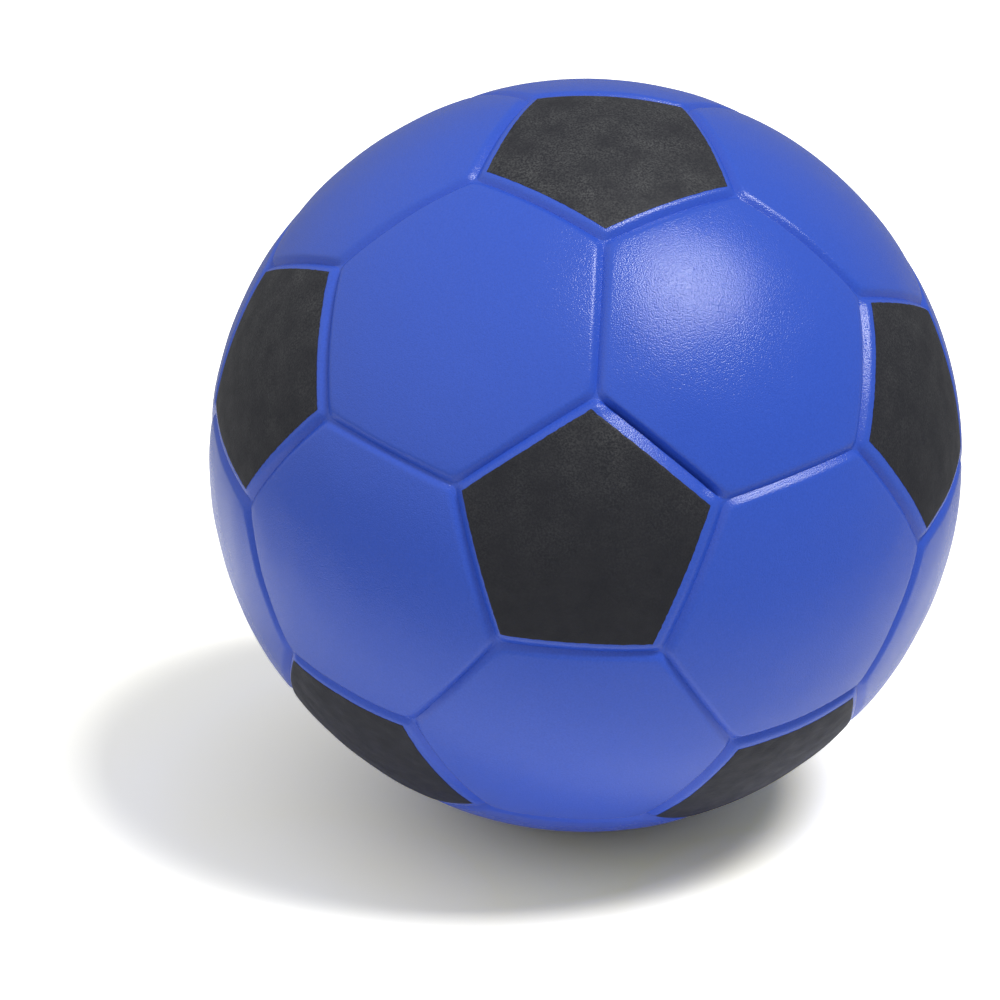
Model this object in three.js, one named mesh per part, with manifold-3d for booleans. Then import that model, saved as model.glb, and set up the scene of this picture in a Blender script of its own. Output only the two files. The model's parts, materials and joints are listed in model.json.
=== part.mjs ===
// Soft foam football: a play ball of moulded polyurethane foam, 200 mm across.
//
// A light foam core fills a dense skin. The skin forms against the two halves of a mould, so it is
// two bowls that meet at the parting line. It carries the classic ball pattern, twelve pentagons and
// twenty hexagons, as rounded grooves along great circles. The twelve pentagons are sprayed black.
//
// Millimetres, +Z up, origin at the centre of the ball. The ball lies as it would on a floor, with
// one pentagon turned towards -Y.

import * as THREE from "three";
import { mergeVertices } from "three/addons/utils/BufferGeometryUtils.js";
import Module from "manifold-3d";

// Driving dimensions, in millimetres and degrees
const BALL_DIAMETER = 200;
const PENTAGON_CORNER_ANGLE = 20.1; // from a pentagon's centre to its corners, seen from the ball's centre
const GROOVE_WIDTH = 5.2; // between the shoulders of a seam groove
const GROOVE_DEPTH = 1.3;
const GROOVE_WALL_SHARE = 0.45; // share of half a groove that is straight wall, below its rounded shoulder
const SKIN_UNDER_GROOVE = 1.7; // dense skin left below the bottom of a groove
const BOND_GAP = 0.3; // between the skin and the core
const PARTING_GAP = 0.3; // between the two halves of the skin
const PAINT_MARGIN = 0.4; // bare skin between a groove's shoulder and the paint
const PAINT_GAP = 0.1; // between the skin and the paint
const PAINT_THICKNESS = 0.2;

// How the ball lies: the mould's axis leans from +Z towards -Y, then turns and spins a little
const AXIS_LEAN = 82.5;
const AXIS_TURN = -1.1;
const AXIS_SPIN = -3.1;

// Finishes
const BLUE_SKIN = { color: "#435dbf", roughness: 0.5 };
const BLACK_PAINT = { color: "#313338", roughness: 0.65 };
const CREAM_FOAM = { color: "#e6dfc8", roughness: 0.95 };

// Fineness of the facets
const EDGE_STEPS = 4; // along each side of a panel
const GROOVE_STEPS = 3; // from a groove's shoulder to its bottom
const HEXAGON_RINGS = 3; // from a hexagon's centre to its shoulder
const PENTAGON_RINGS = 2; // from a pentagon's centre to the edge of its paint
const CORE_DETAIL = 6;

const ballRadius = BALL_DIAMETER / 2;
const skinInnerRadius = ballRadius - GROOVE_DEPTH - SKIN_UNDER_GROOVE;
const coreRadius = skinInnerRadius - BOND_GAP;

// Pentagon centres: one on the mould's axis, five round it, and the same turned through the centre.
// Two neighbours in the pattern are always this far apart.
const NEIGHBOUR_ANGLE = Math.atan(2);
const FRONT_RING = ["top", "left", "lower_left", "lower_right", "right"];
const BACK_RING = ["back_bottom", "back_right", "back_upper_right", "back_upper_left", "back_left"];

function ringCentre(index) {
  const azimuth = THREE.MathUtils.degToRad(90) + (index * 2 * Math.PI) / FRONT_RING.length;
  return new THREE.Vector3(
    Math.sin(NEIGHBOUR_ANGLE) * Math.cos(azimuth),
    Math.sin(NEIGHBOUR_ANGLE) * Math.sin(azimuth),
    Math.cos(NEIGHBOUR_ANGLE),
  );
}

const axis = new THREE.Vector3(0, 0, 1);
const pentagonCentres = new Map([["front", axis], ["back", axis.clone().negate()]]);
FRONT_RING.forEach((name, index) => pentagonCentres.set(name, ringCentre(index)));
BACK_RING.forEach((name, index) => pentagonCentres.set(name, ringCentre(index).negate()));

const centres = [...pentagonCentres.values()];
const neighbours = (a, b) => Math.abs(a.angleTo(b) - NEIGHBOUR_ANGLE) < NEIGHBOUR_ANGLE / 10;

// The corner of pentagon a that points at pentagon b
function corner(a, b) {
  const turn = new THREE.Vector3().crossVectors(a, b).normalize();
  return a.clone().applyAxisAngle(turn, THREE.MathUtils.degToRad(PENTAGON_CORNER_ANGLE));
}

// Directions put in order, anticlockwise round a centre seen from outside the ball
function inOrderRound(centre, directions) {
  const across = directions[0].clone().projectOnPlane(centre);
  const along = new THREE.Vector3().crossVectors(centre, across);
  const bearing = (direction) => Math.atan2(direction.dot(along), direction.dot(across));
  return [...directions].sort((a, b) => bearing(a) - bearing(b));
}

function pentagonPanel(centre) {
  const corners = centres.filter((other) => neighbours(centre, other)).map((other) => corner(centre, other));
  return { centre, corners: inOrderRound(centre, corners) };
}

function hexagonPanel(a, b, c) {
  const centre = new THREE.Vector3().add(a).add(b).add(c).normalize();
  const corners = [corner(a, b), corner(b, a), corner(b, c), corner(c, b), corner(c, a), corner(a, c)];
  return { centre, corners: inOrderRound(centre, corners) };
}

function hexagonPanels() {
  const panels = [];
  centres.forEach((a, i) => {
    centres.slice(i + 1).forEach((b, j) => {
      centres.slice(i + j + 2).forEach((c) => {
        if (neighbours(a, b) && neighbours(b, c) && neighbours(c, a)) panels.push(hexagonPanel(a, b, c));
      });
    });
  });
  return panels;
}

// The outline of a panel moved in from its seams by a distance along the surface, as unit directions.
// Every side is a circle parallel to its seam's great circle, so the margin is even all round.
function insetOutline(panel, distance) {
  const lift = Math.sin(distance / ballRadius);
  const count = panel.corners.length;
  const inward = panel.corners.map((from, i) =>
    new THREE.Vector3().crossVectors(from, panel.corners[(i + 1) % count]).normalize(),
  );
  const insetCorners = inward.map((next, i) => {
    const previous = inward[(i + count - 1) % count];
    const level = previous.clone().add(next).multiplyScalar(lift / (1 + previous.dot(next)));
    const outward = new THREE.Vector3().crossVectors(previous, next).normalize();
    return level.addScaledVector(outward, Math.sqrt(1 - level.lengthSq()));
  });
  return insetCorners.flatMap((from, i) => {
    const start = from.clone().projectOnPlane(inward[i]);
    const end = insetCorners[(i + 1) % count].clone().projectOnPlane(inward[i]);
    const sweep = start.angleTo(end);
    return Array.from({ length: EDGE_STEPS }, (_, step) =>
      from.clone().applyAxisAngle(inward[i], (sweep * step) / EDGE_STEPS),
    );
  });
}

// Outlines between a panel's centre and an outer one, evenly spaced, the outer one last
function ringsOut(centre, outline, count) {
  return Array.from({ length: count }, (_, ring) =>
    outline.map((direction) => centre.clone().lerp(direction, (ring + 1) / count).normalize()),
  );
}

const atRadius = (outline, radius) => outline.map((direction) => direction.clone().multiplyScalar(radius));

// Triangles, as corner points in threes, facing away from the ball's centre
function fan(centre, ring) {
  return ring.flatMap((point, i) => [centre, point, ring[(i + 1) % ring.length]]);
}

function band(inner, outer) {
  return inner.flatMap((point, i) => {
    const next = (i + 1) % inner.length;
    return [point, outer[i], outer[next], point, outer[next], inner[next]];
  });
}

function cap(centre, rings) {
  return [...fan(centre, rings[0]), ...rings.slice(1).flatMap((ring, i) => band(rings[i], ring))];
}

const turnedOver = (points) => points.map((_, i) => points[i - (i % 3) + [0, 2, 1][i % 3]]);

function geometryOf(points) {
  const geometry = mergeVertices(new THREE.BufferGeometry().setFromPoints(points));
  geometry.computeVertexNormals();
  return geometry;
}

// The rings of a panel's crown, all at the ball's full radius
function crownRings(panel) {
  const shoulder = insetOutline(panel, GROOVE_WIDTH / 2);
  if (panel.corners.length === 6) return ringsOut(panel.centre, shoulder, HEXAGON_RINGS);
  const painted = insetOutline(panel, GROOVE_WIDTH / 2 + PAINT_MARGIN);
  return [...ringsOut(panel.centre, painted, PENTAGON_RINGS), shoulder];
}

// How far half a groove has fallen, from 0 at its shoulder to 1 at the seam, where the panels' edges meet.
// The share is that of the way back from the seam: a straight wall first, then the rounded shoulder.
function grooveFall(share) {
  const steepness = 2 / (1 + GROOVE_WALL_SHARE);
  if (share < GROOVE_WALL_SHARE) return 1 - steepness * share;
  return (steepness * (1 - share) ** 2) / (2 * (1 - GROOVE_WALL_SHARE));
}

// Half a groove, from below the shoulder's edge to the seam at the bottom
function grooveRings(panel) {
  return Array.from({ length: GROOVE_STEPS }, (_, step) => {
    const share = 1 - (step + 1) / GROOVE_STEPS;
    const outline = insetOutline(panel, (share * GROOVE_WIDTH) / 2);
    return atRadius(outline, ballRadius - GROOVE_DEPTH * grooveFall(share));
  });
}

function panelSurface(panel) {
  const crown = crownRings(panel).map((ring) => atRadius(ring, ballRadius));
  return cap(panel.centre.clone().multiplyScalar(ballRadius), [...crown, ...grooveRings(panel)]);
}

// A sprayed pentagon: a thin curved plate whose facets lie parallel to those of the panel below it
function paintGeometry(panel) {
  const painted = crownRings(panel).slice(0, PENTAGON_RINGS);
  const low = ballRadius + PAINT_GAP;
  const high = low + PAINT_THICKNESS;
  const lowRings = painted.map((ring) => atRadius(ring, low));
  const highRings = painted.map((ring) => atRadius(ring, high));
  return geometryOf([
    ...cap(panel.centre.clone().multiplyScalar(high), highRings),
    ...band(highRings.at(-1), lowRings.at(-1)),
    ...turnedOver(cap(panel.centre.clone().multiplyScalar(low), lowRings)),
  ]);
}

// Solids for the cuts
const wasm = await Module();
wasm.setup();

function solidOf(geometry) {
  const bare = geometry.clone();
  bare.deleteAttribute("normal");
  bare.deleteAttribute("uv");
  const merged = mergeVertices(bare);
  return new wasm.Manifold(
    new wasm.Mesh({
      numProp: 3,
      vertProperties: new Float32Array(merged.attributes.position.array),
      triVerts: new Uint32Array(merged.index.array),
    }),
  );
}

function geometryOfSolid(solid) {
  const { vertProperties, triVerts } = solid.getMesh();
  const geometry = new THREE.BufferGeometry();
  geometry.setAttribute("position", new THREE.BufferAttribute(new Float32Array(vertProperties), 3));
  geometry.setIndex(new THREE.BufferAttribute(new Uint32Array(triVerts), 1));
  geometry.computeVertexNormals();
  return geometry;
}

// The room of one mould half: everything on one side of the parting plane
function mouldHalf(side) {
  const reach = BALL_DIAMETER;
  const box = new THREE.BoxGeometry(2 * reach, 2 * reach, reach);
  return solidOf(box.translate(0, 0, side * (reach / 2 + PARTING_GAP / 2)));
}

function addPiece(group, name, geometry, finish) {
  const material = new THREE.MeshStandardMaterial({ ...finish, metalness: 0, flatShading: true });
  const mesh = new THREE.Mesh(geometry, material);
  mesh.name = name;
  group.add(mesh);
}

const pentagons = new Map([...pentagonCentres].map(([name, centre]) => [name, pentagonPanel(centre)]));
const panels = [...pentagons.values(), ...hexagonPanels()];

const mould = new THREE.Group();
mould.rotation.z = THREE.MathUtils.degToRad(AXIS_SPIN);

// Core and skin
addPiece(mould, "foam_core", new THREE.IcosahedronGeometry(coreRadius, CORE_DETAIL), CREAM_FOAM);

const ball = solidOf(geometryOf(panels.flatMap(panelSurface)));
const cavity = solidOf(new THREE.IcosahedronGeometry(skinInnerRadius, CORE_DETAIL));
const skin = ball.subtract(cavity);
addPiece(mould, "skin_front", geometryOfSolid(skin.intersect(mouldHalf(1))), BLUE_SKIN);
addPiece(mould, "skin_back", geometryOfSolid(skin.intersect(mouldHalf(-1))), BLUE_SKIN);

// Sprayed pentagons
pentagons.forEach((panel, name) => {
  addPiece(mould, `pentagon_${name}`, paintGeometry(panel), BLACK_PAINT);
});

const foamBall = new THREE.Group();
foamBall.rotation.set(
  THREE.MathUtils.degToRad(AXIS_LEAN),
  0,
  THREE.MathUtils.degToRad(AXIS_TURN),
  "ZXY",
);
foamBall.add(mould);

export default foamBall;
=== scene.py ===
# %% [markdown]
# # A soft foam football
#
# The ball is moulded in one shot from polyurethane foam. A dense blue skin forms against the two
# halves of the mould, with the seams of a classic football pressed into it as rounded grooves, and the
# pentagons are sprayed black afterwards through a mask. The frame already holds every piece at its
# true place and size, so this script only has to give the pieces their fine surface and their finish.

# %% Load the frame
import json
import math
from collections import namedtuple

import bmesh
import bpy
import numpy as np
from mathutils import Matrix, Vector


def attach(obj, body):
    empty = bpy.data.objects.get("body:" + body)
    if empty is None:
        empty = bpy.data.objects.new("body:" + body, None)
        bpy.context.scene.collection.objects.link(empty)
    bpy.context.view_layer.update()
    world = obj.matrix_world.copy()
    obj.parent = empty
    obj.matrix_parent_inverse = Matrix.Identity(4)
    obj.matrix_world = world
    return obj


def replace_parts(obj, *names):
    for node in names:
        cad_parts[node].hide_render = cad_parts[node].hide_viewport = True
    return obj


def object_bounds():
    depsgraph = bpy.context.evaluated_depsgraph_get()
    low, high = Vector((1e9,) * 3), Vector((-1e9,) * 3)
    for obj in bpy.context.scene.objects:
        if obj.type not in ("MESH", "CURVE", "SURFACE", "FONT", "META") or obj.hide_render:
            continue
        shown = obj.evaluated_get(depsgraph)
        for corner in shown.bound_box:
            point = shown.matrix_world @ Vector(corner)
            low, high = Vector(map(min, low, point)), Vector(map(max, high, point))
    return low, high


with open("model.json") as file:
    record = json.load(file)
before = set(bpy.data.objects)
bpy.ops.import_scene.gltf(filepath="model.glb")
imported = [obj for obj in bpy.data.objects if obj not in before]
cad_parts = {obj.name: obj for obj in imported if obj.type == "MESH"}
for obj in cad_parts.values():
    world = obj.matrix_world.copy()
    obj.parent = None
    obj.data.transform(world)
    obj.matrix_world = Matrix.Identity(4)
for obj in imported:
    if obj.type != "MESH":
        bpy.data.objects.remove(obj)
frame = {"nodes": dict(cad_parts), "record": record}
cad_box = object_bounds()
cad_size = [round(size, 4) for size in cad_box[1] - cad_box[0]]
print("frame:", len(frame["nodes"]), "nodes in a box of", cad_size, "m")

# %% [markdown]
# ## Where the pattern lies
#
# A football pattern is a truncated icosahedron blown up to a sphere: twelve pentagons sit where an
# icosahedron has its corners, and a hexagon fills the space between every three of them. The twelve
# directions could be typed in, but the frame knows them: each black pentagon is a node, and the mean of
# its points lies on its axis. The rest of the pattern follows from those axes and one angle.

# %% Read the axes from the frame
MM = 0.001

# The ball rests on its first mount, one radius below its centre
BALL_RADIUS = -frame["record"]["mounts"][0]["pos_m"][2]


def unit(vectors):
    return vectors / np.linalg.norm(vectors, axis=-1, keepdims=True)


def node_axis(name):
    """The direction from the ball's centre to the middle of a node."""
    points = np.array([vertex.co for vertex in frame["nodes"][name].data.vertices])
    return unit(points.mean(axis=0))


pentagon_names = [name for name in sorted(frame["nodes"]) if name.startswith("pentagon_")]
pentagon_axes = {name: node_axis(name) for name in pentagon_names}
mould_axis = pentagon_axes["pentagon_front"]
print("ball radius", BALL_RADIUS, "m,", len(pentagon_axes), "pentagons, mould axis", mould_axis.round(3))

# %% Pentagons
# From a pentagon's axis to each of its corners, and from one axis to the next, in radians
CORNER_ANGLE = math.radians(20.1)
NEIGHBOUR_ANGLE = math.atan(2)
NEIGHBOUR_TOLERANCE = 0.1

Panel = namedtuple("Panel", "centre corners inward")


def are_neighbours(a, b):
    angle = math.acos(np.clip(a @ b, -1, 1))
    return abs(angle - NEIGHBOUR_ANGLE) < NEIGHBOUR_TOLERANCE


def corner_towards(axis, other):
    """The corner of one pentagon that points at a neighbouring one."""
    across = unit(other - axis * (axis @ other))
    return axis * math.cos(CORNER_ANGLE) + across * math.sin(CORNER_ANGLE)


def make_panel(centre, corners):
    """A panel: its corners in anticlockwise order, and the inward normal of the plane of each side."""
    east = unit(corners[0] - centre * (centre @ corners[0]))
    north = np.cross(centre, east)
    corners = corners[np.argsort(np.arctan2(corners @ north, corners @ east))]
    return Panel(centre, corners, unit(np.cross(corners, np.roll(corners, -1, axis=0))))


def pentagon_panel(axis):
    around = [other for other in pentagon_axes.values() if are_neighbours(axis, other)]
    return make_panel(axis, np.array([corner_towards(axis, other) for other in around]))


pentagons = {name: pentagon_panel(axis) for name, axis in pentagon_axes.items()}
front_pentagon = pentagons["pentagon_front"]
print("pentagons:", len(pentagons), "with", len(front_pentagon.corners), "corners each")


# %% Hexagons
def hexagon_panel(*trio):
    pairs = [(a, b) for a in trio for b in trio if a is not b]
    return make_panel(unit(sum(trio)), np.array([corner_towards(a, b) for a, b in pairs]))


def hexagon_panels():
    """One hexagon between every three pentagons that are neighbours of each other."""
    axes = list(pentagon_axes.values())
    return [
        hexagon_panel(a, b, c)
        for i, a in enumerate(axes)
        for j, b in enumerate(axes[:i])
        for c in axes[:j]
        if are_neighbours(a, b) and are_neighbours(b, c) and are_neighbours(c, a)
    ]


panels = [*pentagons.values(), *hexagon_panels()]
print("panels:", len(panels))

# %% [markdown]
# ## The relief of the skin
#
# Up close the skin isn't a sphere. Every panel is slightly puffed, and where two panels meet they leave a
# groove with straight walls and rounded shoulders. The corners of the panels are rounded too, so the
# grooves open a little where three panels meet, and the soft skin is never quite even. One groove, at the
# upper right of the front pentagon, is a deep fold, and the pentagon leans into it with a lip. All of that
# is a height above or below the ball's radius, so it is written once, as a function of the direction, and
# the skin, the core and the paint all ask the same function. A bump in the material would be quicker to
# make, but the grooves would then be missing from the outline and from the mesh.

# %% Slow ripples
SKIN_RIPPLE_LENGTH = 14 * MM
GROOVE_RIPPLE_LENGTH = 28 * MM

randoms = np.random.default_rng(seed=21)


def make_ripple(length, waves=24):
    """A smooth random field: a sum of plane waves with that wavelength in seeded random directions."""
    directions = unit(randoms.normal(size=(waves, 3))) * (2 * math.pi * BALL_RADIUS / length)
    phases = randoms.uniform(0, 2 * math.pi, waves)
    return lambda points: np.sin(points @ directions.T + phases).sum(axis=1) * math.sqrt(2 / waves)


skin_ripple = make_ripple(SKIN_RIPPLE_LENGTH)
groove_ripple = make_ripple(GROOVE_RIPPLE_LENGTH)
print("ripples", SKIN_RIPPLE_LENGTH / MM, "mm and", GROOVE_RIPPLE_LENGTH / MM, "mm long")

# %% Distance to the seams
CORNER_ROUNDING = 0.7 * MM


def side_distances(panel, directions):
    """Distance in metres to each side of the panel, one column for each side."""
    return BALL_RADIUS * np.arcsin(np.clip(directions @ panel.inward.T, -1, 1))


def seam_distance(panel, directions):
    """Distance in metres to the nearest seam of the panel, rounded off where two seams meet."""
    distances = side_distances(panel, directions)
    nearest = distances.min(axis=1)
    share = np.exp((nearest[:, None] - distances) / CORNER_ROUNDING).sum(axis=1)
    return np.maximum(nearest - CORNER_ROUNDING * np.log(share), 0)


to_seam = seam_distance(front_pentagon, mould_axis[None])[0]
print("from the middle of a pentagon to its seams:", round(to_seam / MM, 1), "mm")

# %% Grooves
GROOVE_HALF_WIDTH = 2.4 * MM
GROOVE_DEPTH = 1.2 * MM
GROOVE_WALL_SHARE = 0.45
GROOVE_VARIATION = 0.05


def groove_fall(from_seam, directions):
    """How far the skin falls in a groove: a straight wall from the seam, then a rounded shoulder."""
    half_width = GROOVE_HALF_WIDTH * (1 + GROOVE_VARIATION * groove_ripple(directions))
    share = from_seam / half_width
    steepness = 2 / (1 + GROOVE_WALL_SHARE)
    shoulder = steepness * np.maximum(1 - share, 0) ** 2 / (2 * (1 - GROOVE_WALL_SHARE))
    return GROOVE_DEPTH * np.where(share < GROOVE_WALL_SHARE, 1 - steepness * share, shoulder)


print("groove", 2 * GROOVE_HALF_WIDTH / MM, "mm wide and", GROOVE_DEPTH / MM, "mm deep")

# %% The deep fold
# The fold runs between the front pentagon's corners that point at these two
FOLD_ENDS = ("pentagon_top", "pentagon_right")
FOLD_HALF_WIDTH = 1.5 * MM
FOLD_DEPTH = 1.8 * MM
FOLD_REACH = 19 * MM
FOLD_FADE = 4 * MM

# Below the lip the fold is only as wide as the lip's foot
LIP_FOOT = 0.4 * MM
LIP_WIDTH = 3.6 * MM
LIP_SLOPE = math.tan(math.radians(25))

fold_corners = [corner_towards(mould_axis, pentagon_axes[name]) for name in FOLD_ENDS]
fold_middle = unit(sum(fold_corners))


def fold_share(directions):
    """1 along the one seam that is folded deeper than the others, and 0 away from it."""
    along = BALL_RADIUS * np.arccos(np.clip(directions @ fold_middle, -1, 1))
    return np.clip((FOLD_REACH - along) / FOLD_FADE, 0, 1)


def fold_deeper(fall, panel, directions, from_seam):
    """Deepens the fall of a groove along the fold. The front pentagon leans into it with a lip."""
    folded = fold_share(directions)
    has_lip = panel is front_pentagon
    half_width = LIP_FOOT if has_lip else FOLD_HALF_WIDTH
    fall = fall + FOLD_DEPTH * np.maximum(1 - (from_seam / half_width) ** 2, 0) * folded
    if has_lip:
        fall = np.maximum(fall, LIP_SLOPE * np.maximum(LIP_WIDTH - from_seam, 0) * folded)
    return fall


print("fold", FOLD_DEPTH / MM, "mm deeper than the groove, with a lip", LIP_WIDTH / MM, "mm wide")

# %% The whole relief
PUFF_WIDTH = 14 * MM
PUFF_DEPTH = 0.25 * MM
UNEVENNESS = 0.03 * MM

# Most of the ripple stays below this. It is taken off, so that the skin hardly rises past the radius
UNEVEN_PEAK = 1.6


def skin_radius(panel, directions):
    """Distance from the ball's centre to the skin in each direction, in metres."""
    from_seam = seam_distance(panel, directions)
    fall = fold_deeper(groove_fall(from_seam, directions), panel, directions, from_seam)
    puff = PUFF_DEPTH * np.maximum(1 - from_seam / PUFF_WIDTH, 0) ** 2
    return BALL_RADIUS - fall - puff + UNEVENNESS * (skin_ripple(directions) - UNEVEN_PEAK)


deepest = BALL_RADIUS - skin_radius(front_pentagon, fold_middle[None])[0]
print("deepest point of the fold:", round(deepest / MM, 2), "mm below the ball's radius")

# %% [markdown]
# ## Covering a panel with quads
#
# A mesh that bends into a narrow groove needs rows of faces that run along it. A plain icosphere has no
# such rows, and cutting more of them everywhere would cost millions of faces. So each panel is divided as
# a Simple subdivision divides a face: into kites, one at each corner, with their other corners at the
# middle of the panel and the middles of two sides. Inside a kite the rows crowd towards the seam, where
# the groove is, and are wide apart on the crown.

# %% Rows and kites
GROOVE_SHARE = 0.13


def crowded_rows(crown_rows, groove_rows):
    """Shares of the way from a panel's middle to its seam, crowded into the groove."""
    crown = np.linspace(0, 1 - GROOVE_SHARE, crown_rows, endpoint=False)
    return np.concatenate([crown, np.linspace(1 - GROOVE_SHARE, 1, groove_rows + 1)])


def kite_directions(panel, index, rows):
    """Directions of a square grid of points laid over the kite at one corner of a panel."""
    corner = panel.corners[index]
    before = unit(corner + panel.corners[index - 1])
    after = unit(corner + panel.corners[(index + 1) % len(panel.corners)])
    u, v = (grid.reshape(-1, 1) for grid in np.meshgrid(rows, rows, indexing="ij"))
    from_centre = (1 - u) * (1 - v) * panel.centre
    return unit(from_centre + u * (1 - v) * before + u * v * corner + (1 - u) * v * after)


def grid_faces(count):
    """Corner numbers of the quads of a square grid with that many points along each side."""
    numbers = np.arange(count * count).reshape(count, count)
    corners = [numbers[:-1, :-1], numbers[1:, :-1], numbers[1:, 1:], numbers[:-1, 1:]]
    return np.stack([corner.ravel() for corner in corners], axis=1)


SKIN_ROWS = crowded_rows(crown_rows=12, groove_rows=17)
print("each kite of the skin has", len(grid_faces(len(SKIN_ROWS))), "faces")

# %% Cover the whole ball
WELD_DISTANCE = 0.001 * MM


def cover_panels(chosen, rows, radius_of, start=0, warp=None):
    """Points and faces over the chosen panels. radius_of gives the radius for a panel's directions."""
    points, faces = [], []
    for panel in chosen:
        for index in range(len(panel.corners)):
            directions = kite_directions(panel, index, rows)
            if warp:
                directions = warp(panel, directions)
            points.append(directions * radius_of(panel, directions)[:, None])
            faces.append(grid_faces(len(rows)) + start)
            start += len(directions)
    return np.concatenate(points), np.concatenate(faces)


def welded_mesh(name, points, faces):
    """A mesh in which the points that neighbouring kites share are joined."""
    mesh = bpy.data.meshes.new(name)
    mesh.from_pydata(points.tolist(), [], faces.tolist())
    shape = bmesh.new()
    shape.from_mesh(mesh)
    bmesh.ops.remove_doubles(shape, verts=shape.verts, dist=WELD_DISTANCE)
    shape.to_mesh(mesh)
    shape.free()
    return mesh


def cover_ball(name, rows, radius_of):
    return welded_mesh(name, *cover_panels(panels, rows, radius_of))


outer_skin = cover_ball("outer_skin", SKIN_ROWS, skin_radius)
print("outer skin:", len(outer_skin.polygons), "faces")

# %% [markdown]
# ## The two halves of the skin
#
# The mould opens on a plane across its axis, and the skin keeps a hair line there: the parting line. A
# Boolean with a half space could split the skin, but Bisect does the same on a mesh without a second
# object. Each half gets its own inner wall, a sphere that gives way below the deep fold. It is cut on the
# same plane, and a flat rim bridges the two walls. One more cut close to the rim leaves a row of points
# there, so that the edge alone can be rolled in and the line shows.

# %% Inner wall
SKIN_THICKNESS = 3.0 * MM
FOLD_ROOM = 1.1 * MM
FOLD_ROOM_WIDTH = 6 * MM
INNER_ROWS = np.linspace(0, 1, num=9)


def inner_radius(panel, directions):
    """Distance from the ball's centre to the inner wall in each direction, in metres."""
    near_seam = np.maximum(1 - seam_distance(panel, directions) / FOLD_ROOM_WIDTH, 0)
    return BALL_RADIUS - SKIN_THICKNESS - FOLD_ROOM * fold_share(directions) * near_seam


inner_skin = cover_ball("inner_skin", INNER_ROWS, inner_radius)
inner_skin.flip_normals()
print("inner wall:", len(inner_skin.polygons), "faces")

# %% From a shape to a piece
SHARP_ANGLE = math.radians(50)


def open_edges(shape):
    return [edge for edge in shape.edges if edge.is_boundary]


def bridged_mesh(name, shape):
    """Closes a shape between its two open rims and turns it into a mesh."""
    bmesh.ops.bridge_loops(shape, edges=open_edges(shape))
    bmesh.ops.recalc_face_normals(shape, faces=shape.faces)
    mesh = bpy.data.meshes.new(name)
    shape.to_mesh(mesh)
    shape.free()
    return mesh


def add_piece(name, mesh):
    mesh.shade_smooth()
    mesh.set_sharp_from_angle(angle=SHARP_ANGLE)
    piece = bpy.data.objects.new(name, mesh)
    bpy.context.scene.collection.objects.link(piece)
    return piece


print("pieces are smooth, with edges sharp beyond", round(math.degrees(SHARP_ANGLE)), "degrees")

# %% Split the skin at the parting line
PARTING_GAP = 0.02 * MM
PARTING_ROLL_WIDTH = 0.4 * MM
PARTING_ROLL_DEPTH = 0.1 * MM

# A rim point in this outer share of the thickness belongs to the outer wall
OUTER_WALL_SHARE = 0.75


def bisect(shape, side, height, **clear):
    geometry = shape.verts[:] + shape.edges[:] + shape.faces[:]
    normal = Vector(mould_axis) * side
    bmesh.ops.bisect_plane(shape, geom=geometry, plane_co=normal * height, plane_no=normal, **clear)


def skin_half(name, side):
    """One half of the skin as a closed shell. side is 1 for the front half and -1 for the back half."""
    shape = bmesh.new()
    shape.from_mesh(outer_skin)
    shape.from_mesh(inner_skin)
    bisect(shape, side, PARTING_ROLL_WIDTH)
    bisect(shape, side, PARTING_GAP / 2, clear_inner=True)
    outer_wall = BALL_RADIUS - OUTER_WALL_SHARE * SKIN_THICKNESS
    for vertex in {vertex for edge in open_edges(shape) for vertex in edge.verts}:
        if vertex.co.length > outer_wall:
            vertex.co -= vertex.co.normalized() * PARTING_ROLL_DEPTH
    return add_piece(name, bridged_mesh(name, shape))


skin_halves = {
    "skin_front": skin_half("moulded_skin_front", 1),
    "skin_back": skin_half("moulded_skin_back", -1),
}
for node, piece in skin_halves.items():
    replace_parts(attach(piece, "root"), node)
    print(piece.name, len(piece.data.polygons), "faces")

# %% [markdown]
# ## The foam core
#
# Nobody sees the core while the ball is whole, but the part would be hollow without it. Foam rises to
# fill the skin, so its face follows the grooves from below, and it is full of small burst cells. A cloth
# or a soft body could be blown up against the skin, but the foam has set in it, so its form is known. The
# same kites make it, with fewer rows, and a finer ripple stands for the cells.

# %% Core
CORE_ROWS = crowded_rows(crown_rows=10, groove_rows=4)
CORE_CLEARANCE = 0.3 * MM
CORE_RELIEF = 0.5
CELL_SIZE = 4 * MM
CELL_DEPTH = 0.12 * MM

cell_ripple = make_ripple(CELL_SIZE)


def core_radius(panel, directions):
    """Distance from the ball's centre to the foam's face: a softer copy of the relief of the skin."""
    fall = BALL_RADIUS - skin_radius(panel, directions)
    face = inner_radius(panel, directions) - CORE_CLEARANCE - CORE_RELIEF * np.maximum(fall, 0)
    return face - CELL_DEPTH * np.abs(cell_ripple(directions))


core = add_piece("foam_filling", cover_ball("foam_filling", CORE_ROWS, core_radius))
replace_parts(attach(core, "root"), "foam_core")
print(core.name, len(core.data.polygons), "faces")

# %% [markdown]
# ## The sprayed pentagons
#
# The paint is a thin film that covers a pentagon up to the shoulders of its grooves. Its outline is the
# mask's, which is never quite central, so each pentagon shows a wider blue margin on one side, and the
# edge wanders a little where paint crept below the mask. A texture could colour the skin black, but then
# the paint would be no piece of its own. So a smaller pentagon with its sides moved in is laid out for
# each mask, and the same kites cover it. The film is closed below, so that it is a real thin solid, and
# it thins out towards its edge as sprayed paint does.

# %% Where each mask lay
PAINT_INSET = 2.75 * MM
UP = np.array([0, 0, 1.0])

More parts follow.
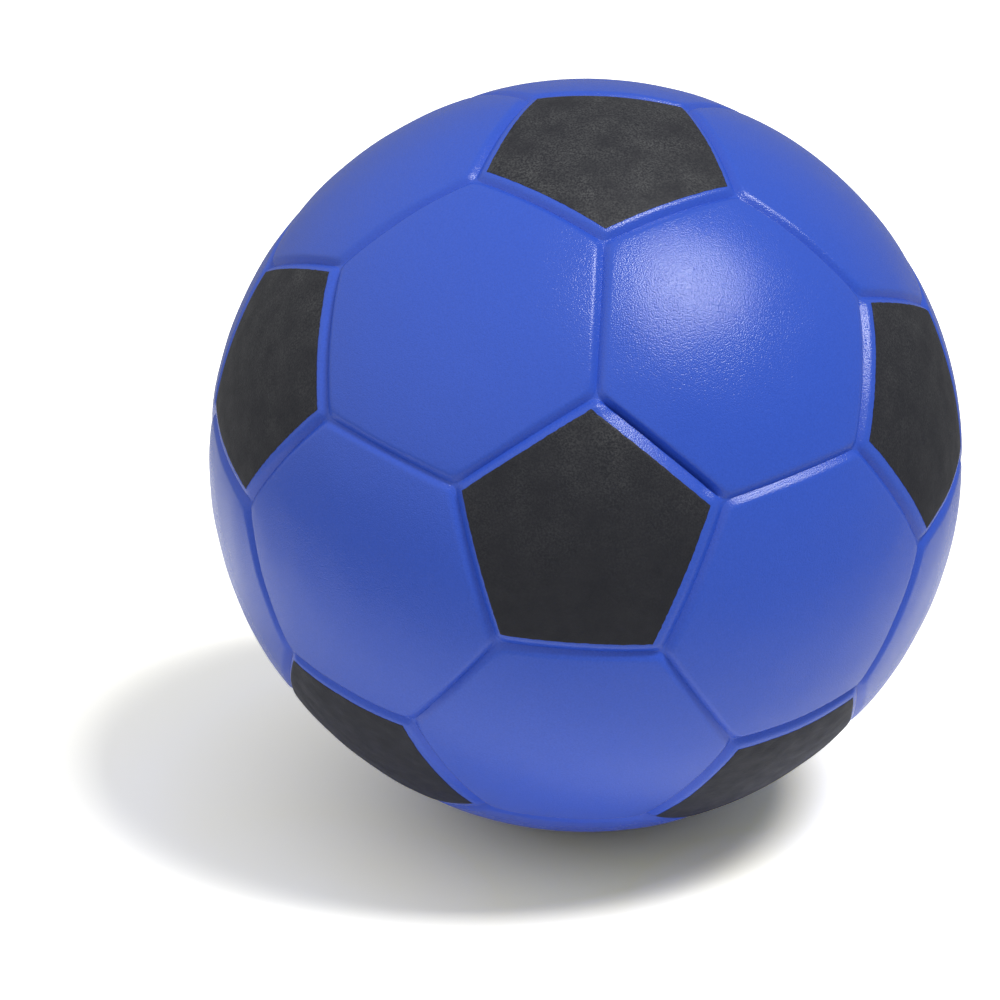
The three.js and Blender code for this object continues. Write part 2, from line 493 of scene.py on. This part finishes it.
# How far each mask sat to the right and up, seen from outside, in millimetres
MASK_SHIFTS = {
    "pentagon_front": (-1.0, 0.0),
    "pentagon_top": (0.2, 0.0),
    "pentagon_left": (0.0, 0.4),
    "pentagon_right": (0.9, 0.4),
    "pentagon_lower_left": (-0.7, 0.6),
    "pentagon_lower_right": (0.2, -0.7),
}

# The most that a mask on a pentagon out of sight sat off centre, each way
HIDDEN_MASK_SHIFT = 0.5


def mask_panel(panel, shift):
    """The outline of a mask: the pentagon with each side turned inwards by that side's inset."""
    east = unit(np.cross(UP, panel.centre))
    north = np.cross(panel.centre, east)
    outward = unit(panel.centre * (panel.inward @ panel.centre)[:, None] - panel.inward)
    inset = (PAINT_INSET - outward @ (east * shift[0] + north * shift[1])) / BALL_RADIUS
    middles = unit(panel.corners + np.roll(panel.corners, -1, axis=0))
    inward = panel.inward * np.cos(inset)[:, None] - middles * np.sin(inset)[:, None]
    corners = unit(np.cross(np.roll(inward, 1, axis=0), inward))
    corners *= np.sign(corners @ panel.centre)[:, None]
    return Panel(panel.centre, corners, inward)


masks = {}
for node, panel in pentagons.items():
    chance = randoms.uniform(-HIDDEN_MASK_SHIFT, HIDDEN_MASK_SHIFT, 2)
    masks[node] = mask_panel(panel, np.array(MASK_SHIFTS.get(node, chance)) * MM)
print("masks:", len(masks), "of which", len(MASK_SHIFTS), "lie as in the photograph")

# %% Edge of the paint
PAINT_THICKNESS = 0.07 * MM
PAINT_EDGE_THICKNESS = 0.03 * MM
PAINT_FEATHER = 0.5 * MM
BLEED = 0.045 * MM
BLEED_LENGTH = 1.8 * MM
BLEED_WIDTH = 1.5 * MM

bleed_ripples = [make_ripple(BLEED_LENGTH) for axis in range(3)]


def edge_distance(mask, directions):
    return side_distances(mask, directions).min(axis=1)


def bleed(mask, directions):
    """Lets the edge of the paint wander a little, as it does where it creeps below the mask."""
    near_edge = np.clip(1 - edge_distance(mask, directions) / BLEED_WIDTH, 0, 1)[:, None]
    wander = np.stack([ripple(directions) for ripple in bleed_ripples], axis=1)
    return unit(directions + wander * near_edge * BLEED / BALL_RADIUS)


def film_thickness(mask, directions):
    """Full paint in the middle of the film, thinning out over the feather at its edge."""
    from_edge = np.clip(edge_distance(mask, directions) / PAINT_FEATHER, 0, 1)
    return PAINT_EDGE_THICKNESS + (PAINT_THICKNESS - PAINT_EDGE_THICKNESS) * from_edge


print("paint", PAINT_THICKNESS / MM, "mm thick, and", PAINT_EDGE_THICKNESS / MM, "mm at its edge")

# %% Paint films
FILM_ROWS = crowded_rows(crown_rows=20, groove_rows=8)
PAINT_LIFT = 0.02 * MM


def paint_film(name, panel, mask):
    """A closed film between an underside just above the skin and a topside."""

    def underside(mask, directions):
        return skin_radius(panel, directions) + PAINT_LIFT

    def topside(mask, directions):
        return underside(mask, directions) + film_thickness(mask, directions)

    top, top_faces = cover_panels([mask], FILM_ROWS, topside, warp=bleed)
    bottom, bottom_faces = cover_panels([mask], FILM_ROWS, underside, start=len(top), warp=bleed)
    faces = np.concatenate([top_faces, bottom_faces[:, ::-1]])
    shape = bmesh.new()
    shape.from_mesh(welded_mesh(name, np.concatenate([top, bottom]), faces))
    return add_piece(name, bridged_mesh(name, shape))


films = []
for node, mask in masks.items():
    film = paint_film(node.replace("pentagon", "paint"), pentagons[node], mask)
    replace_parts(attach(film, "root"), node)
    films.append(film)
print("paint films:", len(films), "of", len(films[0].data.polygons), "faces each")

# %% [markdown]
# ## Finishes
#
# Every finish is made of nodes. Pictures could be laid over the ball instead, but then it would have to be
# unwrapped, and they would blur up close. Here the textures use the ball's own coordinates in metres, so
# the grain has its real size. A texture's scale is the number of its lumps in a metre, one over their
# size. A few helpers come first, which keep the trees of nodes short to write.


# %% Adding and linking nodes
def plug(tree, source, socket):
    """Gives an input its source: another node's socket to link, a colour, or a plain value."""
    if isinstance(source, bpy.types.NodeSocket):
        tree.links.new(source, socket)
    elif socket.type == "RGBA":
        socket.default_value = (*source, 1)
    else:
        socket.default_value = source


def add_node(tree, kind, inputs=(), **settings):
    """A shader node of that kind. inputs goes from the name or number of each input to its source."""
    node = tree.nodes.new("ShaderNode" + kind)
    for name, setting in settings.items():
        setattr(node, name, setting)
    for name, source in dict(inputs).items():
        plug(tree, source, node.inputs[name])
    return node


def new_finish(name):
    """A new material, with its node tree, its Principled shader and the place on the object."""
    material = bpy.data.materials.new(name)
    material.use_nodes = True
    tree = material.node_tree
    place = add_node(tree, "TexCoord").outputs["Object"]
    return material, tree, tree.nodes["Principled BSDF"], place


def dress(pieces, material):
    for piece in pieces:
        piece.data.materials.clear()
        piece.data.materials.append(material)
    print(material.name, "on", len(pieces), "pieces,", len(material.node_tree.nodes), "nodes")


# %% Textures, mixes and bumps
def noise(tree, place, lump, detail=2.0, roughness=0.5, distortion=0.0):
    """A noise texture whose lumps are that many metres across."""
    inputs = {
        "Vector": place,
        "Scale": 1 / lump,
        "Detail": detail,
        "Roughness": roughness,
        "Distortion": distortion,
    }
    return add_node(tree, "TexNoise", inputs).outputs["Fac"]


def cells(tree, place, size):
    """Cells that many metres across: 0 in the middle of each, rising towards its edge."""
    return add_node(tree, "TexVoronoi", {"Vector": place, "Scale": 1 / size}).outputs["Distance"]


def spread(tree, value, low, high, start=0.3, end=0.7):
    """Maps a texture's middle range to values between low and high."""
    inputs = {"Value": value, "From Min": start, "From Max": end, "To Min": low, "To Max": high}
    return add_node(tree, "MapRange", inputs).outputs["Result"]


def combine(tree, operation, first, second):
    """Two values combined by a math operation, such as MULTIPLY."""
    return add_node(tree, "Math", {0: first, 1: second}, operation=operation).outputs["Value"]


def two_tones(tree, value, first, second):
    """A colour that goes from the first to the second as the value goes from 0 to 1."""
    inputs = {"Factor": value, "A": first, "B": second}
    return add_node(tree, "Mix", inputs, data_type="RGBA").outputs["Result"]


def bump(tree, height, depth, below=None):
    """A bump of that depth in metres, laid over another one where below is given."""
    inputs = {"Strength": 1, "Distance": depth, "Height": height}
    if below is not None:
        inputs["Normal"] = below
    return add_node(tree, "Bump", inputs).outputs["Normal"]


# %% [markdown]
# ### Blue skin
#
# The mould is lightly etched, so the skin has a fine grain of rounded pebbles that breaks the highlight
# into speckles, and a slow unevenness below it that makes the highlight's edge wander. The colour is
# mixed into the coat. A fine speckle of a paler blue is painted glints, which stand for the light that
# the grain catches. Noise alone would make the grain look like waves. Cells, squared and turned over by a
# negative depth, make round domes that touch each other.

# %% Blue skin
SKIN_BLUE = (0.03, 0.092, 0.555)
# The paler blue is painted glints of the grain, spread as a fine speckle over the whole skin
SKIN_BLUE_GLINT = (0.039, 0.113, 0.645)
SPECKLE = 0.5 * MM
SPECKLE_RANGE = (0.2, 0.8)
SKIN_ROUGHNESS = (0.22, 0.26)
SKIN_SHEEN_PATCH = 12 * MM
GRAIN = 0.36 * MM
GRAIN_DEPTH = -0.054 * MM
DIMPLE = 9 * MM
DIMPLE_DEPTH = 0.02 * MM


def pebble_grain(tree, place, below):
    cell = cells(tree, place, GRAIN)
    return bump(tree, combine(tree, "MULTIPLY", cell, cell), GRAIN_DEPTH, below)


def blue_skin():
    material, tree, shader, place = new_finish("blue_moulded_skin")
    painted_glints = spread(tree, noise(tree, place, SPECKLE), 0, 1, *SPECKLE_RANGE)
    sheen = spread(tree, noise(tree, place, SKIN_SHEEN_PATCH), *SKIN_ROUGHNESS)
    dimples = bump(tree, noise(tree, place, DIMPLE), DIMPLE_DEPTH)
    plug(tree, two_tones(tree, painted_glints, SKIN_BLUE, SKIN_BLUE_GLINT), shader.inputs["Base Color"])
    plug(tree, sheen, shader.inputs["Roughness"])
    plug(tree, pebble_grain(tree, place, dimples), shader.inputs["Normal"])
    return material


dress(skin_halves.values(), blue_skin())

# %% [markdown]
# ### Black paint
#
# Flexible paint dries matte and a little blotchy. The skin's grain shows through it, and it has fine
# creases of its own where the soft ball has been squeezed. Grey flecks lighten it on top: partly dust and
# scuffs, and partly a painted sheen for the upper paint, which catches more light from above. They could
# be painted by hand, but noise does it for all the pentagons at once: patches of small flecks are fine
# noise with only its peaks kept, let through by a coarser noise and by the height on the ball.

# %% Black paint
PAINT_BLACK = (0.0095, 0.0105, 0.0165)
PAINT_GREY = (0.0185, 0.019, 0.025)
BLOTCH = 7 * MM
# Flecks of this grey are partly dust and partly painted sheen, with more of them higher on the ball
DUST_AND_SHEEN_GREY = (0.095, 0.098, 0.1)
FLECK = 0.5 * MM
FLECK_PEAKS = (0.36, 0.75)
FLECK_PATCH = 8 * MM
FLECK_PATCH_PEAKS = (0.2, 0.75)
DUST_AND_SHEEN_HEIGHTS = (-10 * MM, 85 * MM)
PAINT_ROUGHNESS = (0.55, 0.7)
PAINT_SHEEN_PATCH = 5 * MM
PAINT_SPECULAR = 0.38
CREASE = 1.5 * MM
CREASE_DEPTH = 0.08 * MM


def dust_and_sheen_flecks(tree, place):
    """Where the paint is scuffed or dusty, and where a painted sheen lightens it on top: 0 on clean paint
    and 1 on a fleck.
    """
    height = add_node(tree, "SeparateXYZ", {"Vector": place}).outputs["Z"]
    fine = spread(tree, noise(tree, place, FLECK, detail=1.0), 0, 1, *FLECK_PEAKS)
    patch = spread(tree, noise(tree, place, FLECK_PATCH, detail=3.0), 0, 1, *FLECK_PATCH_PEAKS)
    upper = spread(tree, height, 0, 1, *DUST_AND_SHEEN_HEIGHTS)
    return combine(tree, "MULTIPLY", combine(tree, "MULTIPLY", fine, patch), upper)


def black_paint():
    material, tree, shader, place = new_finish("black_sprayed_paint")
    blotch = spread(tree, noise(tree, place, BLOTCH, detail=6.0, roughness=0.8), 0, 1)
    clean = two_tones(tree, blotch, PAINT_BLACK, PAINT_GREY)
    sheen = spread(tree, noise(tree, place, PAINT_SHEEN_PATCH, detail=3.0), *PAINT_ROUGHNESS)
    crumple = noise(tree, place, CREASE, detail=4.0, roughness=0.65, distortion=0.6)
    creases = bump(tree, crumple, CREASE_DEPTH)
    plug(tree, two_tones(tree, dust_and_sheen_flecks(tree, place), clean, DUST_AND_SHEEN_GREY), shader.inputs["Base Color"])
    plug(tree, sheen, shader.inputs["Roughness"])
    plug(tree, PAINT_SPECULAR, shader.inputs["Specular IOR Level"])
    plug(tree, pebble_grain(tree, place, creases), shader.inputs["Normal"])
    return material


dress(films, black_paint())

# %% [markdown]
# ### Cream foam
#
# Bare foam is pale, dull and full of cells. Modelling each cell would cost millions of faces for a piece
# that is hidden, so Voronoi cells give the pits, and painted shade darkens the colour in them.

# %% Cream foam
FOAM_CREAM = (0.79, 0.73, 0.58)
# A painted shade for the inside of the foam's pits
FOAM_PAINTED_PIT_SHADE = (0.55, 0.48, 0.34)
FOAM_CELL = 0.9 * MM
FOAM_PIT = (0.1, 0.6)
FOAM_PIT_DEPTH = 0.2 * MM
FOAM_ROUGHNESS = 0.95


def cream_foam():
    material, tree, shader, place = new_finish("cream_foam")
    pit = spread(tree, cells(tree, place, FOAM_CELL), 0, 1, *FOAM_PIT)
    plug(tree, two_tones(tree, pit, FOAM_PAINTED_PIT_SHADE, FOAM_CREAM), shader.inputs["Base Color"])
    plug(tree, bump(tree, pit, FOAM_PIT_DEPTH), shader.inputs["Normal"])
    plug(tree, FOAM_ROUGHNESS, shader.inputs["Roughness"])
    return material


dress([core], cream_foam())

# %% [markdown]
# ## The floor
#
# The ball lies on a white floor, which also lights it from below and shines in its lower half. In a
# studio, cards and lamps around the camera would balance those jobs. Here one floor does them all, with a
# colour for each, chosen by the kind of ray that asks: one for the light that it throws back, one for its
# reflections and one for the camera. The first two are brighter in a painted pool of light near the ball.
# The camera sees pure white, and in the ball's shadow a painted warm tint, which offsets the blue light of
# the skin there, so that the shadow looks grey. The floor ends 3 m away, where the white world takes over.

# %% Light from the floor
# A spot has a place on the floor and the two distances between which it fades, in metres. Of each two
# greys, the first is at the spot and the second around it.
Spot = namedtuple("Spot", "place reach")
# These greys paint a pool of light near the ball, in the floor's bounce and in its reflections
BOUNCE_SPOT = Spot(place=(0.02, -0.1, 0), reach=(0.07, 0.22))
BOUNCE_GREYS = (1.1, 0.52)
MIRROR_SPOT = Spot(place=(-0.05, 0.1, 0), reach=(0.22, 0.37))
MIRROR_GREYS = (1.1, 0.35)


def by_distance(tree, place, spot, near, far):
    """A value that goes from near to far with the distance from a spot on the floor."""
    inputs = {0: place, 1: spot.place}
    distance = add_node(tree, "VectorMath", inputs, operation="DISTANCE").outputs["Value"]
    return spread(tree, distance, near, far, *spot.reach)


def painted_light_pool(tree, place, spot, greys):
    """A painted pool of light: one grey at a spot on the floor and another further away."""
    inside, outside = ((grey,) * 3 for grey in greys)
    return two_tones(tree, by_distance(tree, place, spot, 0, 1), inside, outside)


print("floor throws back", BOUNCE_GREYS, "and is mirrored as", MIRROR_GREYS, "near the ball and around")

# %% What the camera sees of the floor
SEEN = (1.775, 1.761, 1.645)
# In the blue glow of the ball's shadow the camera sees a painted warm tint, which cancels that blue light
PAINTED_WARM_IN_GLOW = (1.612, 1.469, 0.71)
GLOW = Spot(place=(0.021, -0.015, 0), reach=(0.028, 0.147))
SHADOW = Spot(place=(-0.03, 0.017, 0), reach=(0.084, 0.106))

# Where a black pentagon faces the floor and keeps the blue light away, so the painted warm tint fades
BELOW_BLACK = [
    Spot(place=(-0.005, 0.034, 0), reach=(0.014, 0.036)),
    Spot(place=(-0.078, -0.066, 0), reach=(0.008, 0.055)),
    Spot(place=(0.06, -0.07, 0), reach=(0.014, 0.051)),
]


def blue_glow(tree, place):
    """1 where the blue skin throws its colour into the ball's shadow and the warm tint is painted over it,
    and 0 elsewhere.
    """
    glow = by_distance(tree, place, GLOW, 1, 0)
    glow = combine(tree, "MULTIPLY", glow, by_distance(tree, place, SHADOW, 1, 0))
    for spot in BELOW_BLACK:
        glow = combine(tree, "MULTIPLY", glow, by_distance(tree, place, spot, 0, 1))
    return glow


print("floor is seen as", SEEN, "and as", PAINTED_WARM_IN_GLOW, "in the blue glow")

# %% Floor
FLOOR_SIZE = 6.0


def by_ray(tree, rays, others, those):
    """One colour for most rays and another for the rays of the named kinds."""
    path = add_node(tree, "LightPath")
    kinds = path.outputs[rays[0]]
    for ray in rays[1:]:
        kinds = combine(tree, "MAXIMUM", kinds, path.outputs[ray])
    return two_tones(tree, kinds, others, those)


def floor_finish():
    material, tree, shader, place = new_finish("white_floor")
    tree.nodes.remove(shader)
    bounce = painted_light_pool(tree, place, BOUNCE_SPOT, BOUNCE_GREYS)
    mirrored = painted_light_pool(tree, place, MIRROR_SPOT, MIRROR_GREYS)
    unseen = by_ray(tree, ["Is Glossy Ray", "Is Transmission Ray"], bounce, mirrored)
    # The warm tint is painted where the blue glow falls
    seen = two_tones(tree, blue_glow(tree, place), SEEN, PAINTED_WARM_IN_GLOW)
    matte = add_node(tree, "BsdfDiffuse", {"Color": by_ray(tree, ["Is Camera Ray"], unseen, seen)})
    plug(tree, matte.outputs["BSDF"], tree.nodes["Material Output"].inputs["Surface"])
    return material


bpy.ops.mesh.primitive_plane_add(size=FLOOR_SIZE, location=(0, 0, -BALL_RADIUS))
floor = bpy.context.object
floor.name = "floor"
floor.data.materials.append(floor_finish())
print(floor.name, FLOOR_SIZE, "m wide, at", -BALL_RADIUS, "m")

# %% [markdown]
# ## The light
#
# The studio is rather dark. A softbox high on the right makes the one bright highlight and throws the
# shadow to the left. It stands far away, so that it lights the floor around the ball evenly. The sky is
# dim and brightens towards the upper left, as if a white wall stood there, which keeps that side of the
# ball from going dull. A picture of a studio could light the scene too, but two levels and a direction
# are easier to change.

# %% Sky
SKY_DIM = 0.27
SKY_BRIGHT = 0.8
SKY_SIDE = (-0.82, -0.36, 0.45)
BLACK = (0, 0, 0)
WHITE = (1, 1, 1)


def sky():
    """A studio that is dim all round, brightens towards one side, and is white to the camera."""
    world = bpy.data.worlds.new("studio")
    world.use_nodes = True
    tree = world.node_tree
    inputs = {0: add_node(tree, "TexCoord").outputs["Generated"], 1: SKY_SIDE}
    towards = add_node(tree, "VectorMath", inputs, operation="DOT_PRODUCT").outputs["Value"]
    level = spread(tree, towards, SKY_DIM, SKY_BRIGHT, 0, 1)
    shade = two_tones(tree, level, BLACK, WHITE)
    colour = by_ray(tree, ["Is Camera Ray", "Is Transmission Ray"], shade, WHITE)
    plug(tree, colour, tree.nodes["Background"].inputs["Color"])
    return world


bpy.context.scene.world = sky()
print("sky from", SKY_DIM, "to", SKY_BRIGHT, "towards", SKY_SIDE)


# %% Softbox
def softbox(name, azimuth, elevation, distance, width, height, turn, level):
    """A softbox placed in degrees and metres, which lights a white face at the ball to that level."""
    lamp = bpy.data.lights.new(name, "AREA")
    lamp.shape = "RECTANGLE"
    lamp.size = width
    lamp.size_y = height
    lamp.energy = level * (math.pi * distance) ** 2
    stand = bpy.data.objects.new(name, lamp)
    stand.rotation_euler = (math.radians(90 - elevation), 0, math.radians(azimuth))
    stand.location = stand.rotation_euler.to_matrix() @ Vector((0, 0, distance))
    stand.rotation_euler.rotate_axis("Z", math.radians(turn))
    bpy.context.scene.collection.objects.link(stand)
    return stand


key = softbox(
    "key_softbox", azimuth=61, elevation=61.4, distance=6, width=1.9, height=1.3, turn=-55, level=0.67
)
print(key.name, "at", [round(x, 2) for x in key.location], "m,", round(key.data.energy, 1), "W")

# %% [markdown]
# ## The camera
#
# The photograph looks down on the ball a little, from about four diameters away. The camera could be
# moved about by hand until the picture looks right. Here its place, its pitch and its lens are numbers
# that put the outline and the pentagons where the photograph has them. The Standard view keeps the
# colours as they are lit, with no film look over them.

# %% Camera
CAMERA_PLACE = (-0.02258, -0.8113, 0.28527)
CAMERA_PITCH = math.radians(20.16)
CAMERA_LENS = 115.885

camera = bpy.data.objects.new("camera", bpy.data.cameras.new("camera"))
camera.data.lens = CAMERA_LENS
camera.location = CAMERA_PLACE
camera.rotation_euler = (math.radians(90) - CAMERA_PITCH, 0, 0)
bpy.context.scene.collection.objects.link(camera)
bpy.context.scene.camera = camera
bpy.context.scene.view_settings.view_transform = "Standard"
print("camera", round(camera.location.length, 3), "m from the ball's centre, lens", CAMERA_LENS, "mm")
